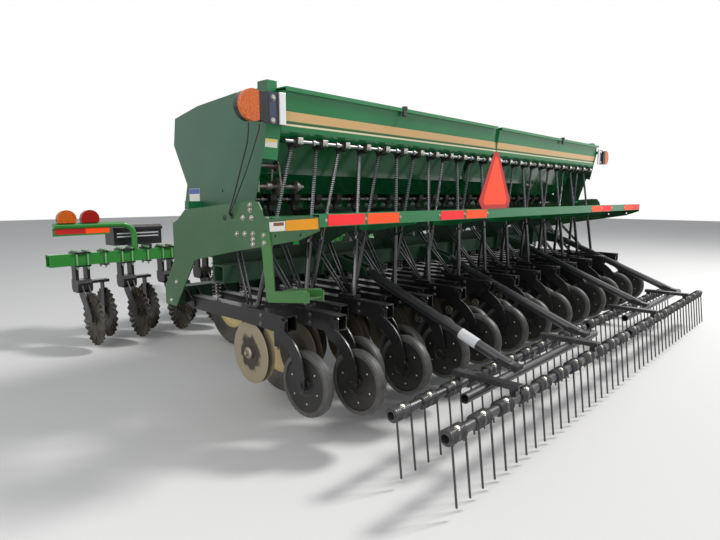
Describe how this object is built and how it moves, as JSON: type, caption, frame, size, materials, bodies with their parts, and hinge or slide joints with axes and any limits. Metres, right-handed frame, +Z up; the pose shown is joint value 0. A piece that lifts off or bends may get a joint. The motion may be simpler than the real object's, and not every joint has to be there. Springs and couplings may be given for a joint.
{
  "type": "seed drill",
  "caption": "Pull-type no-till seed drill: hopper box, small-seeds box, double-disc openers, wavy coulters, press wheels, swivelling tongue and coil-tine harrow.",
  "frame": {"origin": "on the ground, at the middle of the machine's length and width", "axes": "+Y forward towards the hitch, +X to the machine's right, +Z up; length and width along Y and X"},
  "size_m": [4.8794, 6.026, 1.842],
  "materials": {
    "green": "gloss",
    "dark_green": "gloss",
    "black": "satin",
    "black_plastic": "matte",
    "hose_rubber": "matte",
    "steel": "satin",
    "worn_steel": "worn",
    "tyre": "matte",
    "lens": "gloss",
    "sign_orange": "satin"
  },
  "bodies": {
    "drill": {"main_frame": "dark_green", "bulkheads": "dark_green", "end_plates": "green", "end_panels": "dark_green", "seed_box": "green", "small_seed_box": "green", "walkboard": "green", "step": "green", "feed_cups": "black_plastic", "chain_drive": "steel", "seed_tubes": "black_plastic", "seed_hoses": "hose_rubber", "opener_arms": "black", "opener_discs": "worn_steel", "down_springs": "steel", "press_arms": "black", "hitch_frame": "green", "coulter_bar": "green", "coulter_arms": "black", "u_bolts": "steel", "lamp_posts": "green", "front_lamps": "lens", "rear_lamps": "lens", "lamp_leads": "hose_rubber", "lamp_housings": "black_plastic", "slow_sign": "sign_orange", "tool_box": "black"},
    "small_feed_shaft": {"small_feed_shaft": "steel"},
    "main_feed_shaft": {"main_feed_shaft": "steel"},
    "front_press_wheels": {"front_press_wheels": "tyre"},
    "rear_press_wheels": {"rear_press_wheels": "tyre"},
    "gauge_leg_left": {"gauge_leg_left": "black"},
    "gauge_leg_right": {"gauge_leg_right": "black"},
    "gauge_wheel_left": {"gauge_wheel_left": "tyre"},
    "gauge_wheel_right": {"gauge_wheel_right": "tyre"},
    "hitch_wheel_left": {"hitch_wheel_left": "tyre"},
    "hitch_wheel_right": {"hitch_wheel_right": "tyre"},
    "front_coulters": {"front_coulters": "worn_steel"},
    "rear_coulters": {"rear_coulters": "worn_steel"},
    "tongue": {"tongue": "green"},
    "jack_leg": {"jack_leg": "black"},
    "lid_left": {"lid_left": "green"},
    "lid_right": {"lid_right": "green"},
    "small_lid_left": {"small_lid_left": "green"},
    "small_lid_right": {"small_lid_right": "green"},
    "harrow_left": {"harrow_left": "black", "harrow_left_tines": "black"},
    "harrow_right": {"harrow_right": "black", "harrow_right_tines": "black"}
  },
  "joints": [
    {"name": "small_feed_shaft_spin", "type": "hinge", "parent": "drill", "child": "small_feed_shaft", "pos_m": [0, -1.89, 1.555], "axis": [1, 0, 0], "continuous": true},
    {"name": "main_feed_shaft_spin", "type": "hinge", "parent": "drill", "child": "main_feed_shaft", "pos_m": [0, -1.37, 1.256], "axis": [1, 0, 0], "continuous": true},
    {"name": "front_press_wheel_spin", "type": "hinge", "parent": "drill", "child": "front_press_wheels", "pos_m": [0, -2.129, 0.346], "axis": [1, 0, 0], "continuous": true},
    {"name": "rear_press_wheel_spin", "type": "hinge", "parent": "drill", "child": "rear_press_wheels", "pos_m": [0, -2.3, 0.346], "axis": [1, 0, 0], "continuous": true},
    {"name": "gauge_leg_left_slide", "type": "slide", "parent": "drill", "child": "gauge_leg_left", "axis": [0, 0, 1], "range_m": [0, 0.1]},
    {"name": "gauge_leg_right_slide", "type": "slide", "parent": "drill", "child": "gauge_leg_right", "axis": [0, 0, 1], "range_m": [0, 0.1]},
    {"name": "gauge_wheel_left_spin", "type": "hinge", "parent": "gauge_leg_left", "child": "gauge_wheel_left", "pos_m": [-1.7145, -1.36, 0.34], "axis": [1, 0, 0], "continuous": true},
    {"name": "gauge_wheel_right_spin", "type": "hinge", "parent": "gauge_leg_right", "child": "gauge_wheel_right", "pos_m": [1.7145, -1.36, 0.34], "axis": [1, 0, 0], "continuous": true},
    {"name": "hitch_wheel_left_spin", "type": "hinge", "parent": "drill", "child": "hitch_wheel_left", "pos_m": [-1.22, -0.17, 0.36], "axis": [1, 0, 0], "continuous": true},
    {"name": "hitch_wheel_right_spin", "type": "hinge", "parent": "drill", "child": "hitch_wheel_right", "pos_m": [1.22, -0.17, 0.36], "axis": [1, 0, 0], "continuous": true},
    {"name": "front_coulter_spin", "type": "hinge", "parent": "drill", "child": "front_coulters", "pos_m": [0, 0.75, 0.265], "axis": [1, 0, 0], "continuous": true},
    {"name": "rear_coulter_spin", "type": "hinge", "parent": "drill", "child": "rear_coulters", "pos_m": [0, 0.52, 0.265], "axis": [1, 0, 0], "continuous": true},
    {"name": "tongue_swivel", "type": "hinge", "parent": "drill", "child": "tongue", "pos_m": [0, 0.75, 0.92], "axis": [0, 0, 1], "range_deg": [-45, 45]},
    {"name": "jack_slide", "type": "slide", "parent": "tongue", "child": "jack_leg", "axis": [0, 0, 1], "range_m": [0, 0.3]},
    {"name": "lid_left_hinge", "type": "hinge", "parent": "drill", "child": "lid_left", "pos_m": [-1.1, -0.948, 1.758], "axis": [1, 0, 0], "range_deg": [-100, 0]},
    {"name": "lid_right_hinge", "type": "hinge", "parent": "drill", "child": "lid_right", "pos_m": [1.1, -0.948, 1.758], "axis": [1, 0, 0], "range_deg": [-100, 0]},
    {"name": "small_lid_left_hinge", "type": "hinge", "parent": "drill", "child": "small_lid_left", "pos_m": [-1.1, -1.662, 1.808], "axis": [1, 0, 0], "range_deg": [-95, 0]},
    {"name": "small_lid_right_hinge", "type": "hinge", "parent": "drill", "child": "small_lid_right", "pos_m": [1.1, -1.662, 1.808], "axis": [1, 0, 0], "range_deg": [-95, 0]},
    {"name": "harrow_left_lift", "type": "hinge", "parent": "drill", "child": "harrow_left", "pos_m": [-1, -1.76, 0.79], "axis": [1, 0, 0], "range_deg": [-40, 0]},
    {"name": "harrow_right_lift", "type": "hinge", "parent": "drill", "child": "harrow_right", "pos_m": [1, -1.76, 0.79], "axis": [1, 0, 0], "range_deg": [-40, 0]}
  ]
}
